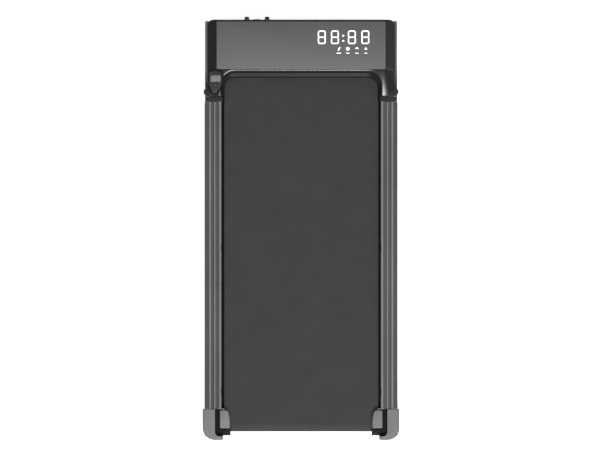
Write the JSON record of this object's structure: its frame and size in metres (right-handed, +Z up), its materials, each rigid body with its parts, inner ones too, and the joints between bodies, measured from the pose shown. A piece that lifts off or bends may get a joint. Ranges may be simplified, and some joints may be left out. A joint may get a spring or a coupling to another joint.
{
  "type": "treadmill",
  "caption": "Slim under-desk walking treadmill: flat belt deck, ribbed side rails, wide front motor hood with LED display, grey rear caps, docked remote.",
  "frame": {"origin": "centre of the bounding box in plan, on the floor under the feet", "axes": "+Y towards the motor hood, +X to the right of a user who faces the hood, +Z up"},
  "size_m": [0.524, 1.128, 0.118],
  "materials": {
    "hood_black": "semi-gloss moulded plastic",
    "panel_smoke": "satin smoked plastic plate",
    "cap_grey": "fine moulded texture",
    "rubber_black": "matt black rubber",
    "belt_black": "fine embossed grain, matt",
    "rail_anodised": "dark anodised, brushed lengthways",
    "steel_black": "black powder coat",
    "steel_bright": "zinc plated",
    "wood_board": "dark laminated fibreboard",
    "circuit_board": "solder resist",
    "aluminium": "die cast",
    "remote_dark": "semi-gloss plastic",
    "key_light": "satin light grey",
    "switch_red": "translucent red rocker"
  },
  "bodies": {
    "base": {"base_pan": "steel_black", "belt_guard_left": "cap_grey", "belt_guard_right": "cap_grey", "breaker_collar": "steel_black", "collar_left": "hood_black", "collar_right": "hood_black", "controller": "aluminium", "cord_gland": "rubber_black", "cross_front": "steel_black", "cross_middle": "steel_black", "cross_rear": "steel_black", "deck_board": "wood_board", "deck_cushion_left": "rubber_black", "deck_cushion_right": "rubber_black", "display_board": "circuit_board", "drive_belt": "rubber_black", "frame_side_left": "steel_black", "frame_side_right": "steel_black", "front_axle": "steel_bright", "front_foot_left": "rubber_black", "front_foot_right": "rubber_black", "motor_body": "steel_black", "motor_bracket": "steel_black", "motor_hood": "hood_black", "rail_left": "rail_anodised", "rail_right": "rail_anodised", "rear_axle": "steel_bright", "rear_bracket_left": "rubber_black", "rear_bracket_right": "rubber_black", "rear_cap_left": "cap_grey", "rear_cap_right": "cap_grey", "rear_foot_left": "rubber_black", "rear_foot_right": "rubber_black", "remote_cradle": "rubber_black", "side_bolt_left": "steel_black", "side_bolt_right": "steel_black", "switch_bezel": "hood_black", "top_panel": "panel_smoke", "walking_belt": "belt_black", "wheel_axle_left": "steel_bright", "wheel_axle_right": "steel_bright"},
    "front_roller": {"front_roller": "steel_bright", "front_bearing_left": "steel_bright", "front_bearing_right": "steel_bright", "roller_pulley": "aluminium"},
    "rear_roller": {"rear_roller": "steel_bright", "rear_bearing_left": "steel_bright", "rear_bearing_right": "steel_bright"},
    "motor_rotor": {"motor_shaft": "steel_bright", "motor_pulley": "aluminium", "motor_flywheel": "steel_bright"},
    "transport_wheel_left": {"transport_wheel_left": "cap_grey"},
    "transport_wheel_right": {"transport_wheel_right": "cap_grey"},
    "tension_bolt_left": {"tension_bolt_left": "steel_bright"},
    "tension_bolt_right": {"tension_bolt_right": "steel_bright"},
    "power_rocker": {"power_rocker": "switch_red"},
    "breaker_button": {"breaker_button": "cap_grey"},
    "remote": {"remote_body": "remote_dark"},
    "remote_start_key": {"remote_start_key": "key_light"},
    "remote_speed_key": {"remote_speed_key": "remote_dark"}
  },
  "joints": [
    {"name": "front_roller_spin", "type": "hinge", "parent": "base", "child": "front_roller", "pos_m": [0, 0.416, 0.0531], "axis": [1, 0, 0], "continuous": true},
    {"name": "rear_roller_spin", "type": "hinge", "parent": "base", "child": "rear_roller", "pos_m": [0, -0.5187, 0.0531], "axis": [1, 0, 0], "continuous": true},
    {"name": "motor_spin", "type": "hinge", "parent": "base", "child": "motor_rotor", "pos_m": [0, 0.498, 0.064], "axis": [1, 0, 0], "continuous": true},
    {"name": "transport_wheel_left_spin", "type": "hinge", "parent": "base", "child": "transport_wheel_left", "pos_m": [-0.2517, 0.534, 0.022], "axis": [1, 0, 0], "continuous": true},
    {"name": "transport_wheel_right_spin", "type": "hinge", "parent": "base", "child": "transport_wheel_right", "pos_m": [0.2517, 0.534, 0.022], "axis": [1, 0, 0], "continuous": true},
    {"name": "tension_bolt_left_turn", "type": "hinge", "parent": "base", "child": "tension_bolt_left", "pos_m": [-0.234, -0.553, 0.0531], "axis": [0, 1, 0], "range_deg": [-720, 720]},
    {"name": "tension_bolt_right_turn", "type": "hinge", "parent": "base", "child": "tension_bolt_right", "pos_m": [0.234, -0.553, 0.0531], "axis": [0, 1, 0], "range_deg": [-720, 720]},
    {"name": "power_rocker_tip", "type": "hinge", "parent": "base", "child": "power_rocker", "pos_m": [-0.1177, 0.551, 0.062], "axis": [1, 0, 0], "range_deg": [0, 16]},
    {"name": "breaker_button_press", "type": "slide", "parent": "base", "child": "breaker_button", "axis": [0, -1, 0], "range_m": [0, 0.003], "stiffness_N_per_m": 400},
    {"name": "remote_lift", "type": "slide", "parent": "base", "child": "remote", "axis": [0, 0, 1], "range_m": [0, 0.06]},
    {"name": "remote_start_key_press", "type": "slide", "parent": "remote", "child": "remote_start_key", "axis": [0, 0, -1], "range_m": [0, 0.001], "stiffness_N_per_m": 500},
    {"name": "remote_speed_key_rock", "type": "hinge", "parent": "remote", "child": "remote_speed_key", "pos_m": [-0.22775, 0.3757, 0.10863], "axis": [1, 0, 0], "range_deg": [-3, 3], "stiffness_Nm_per_rad": 0.05}
  ],
  "couplings": [
    {"joint": "rear_roller_spin", "follows": "front_roller_spin", "ratio": 1},
    {"joint": "motor_spin", "follows": "front_roller_spin", "ratio": 1.7143}
  ]
}
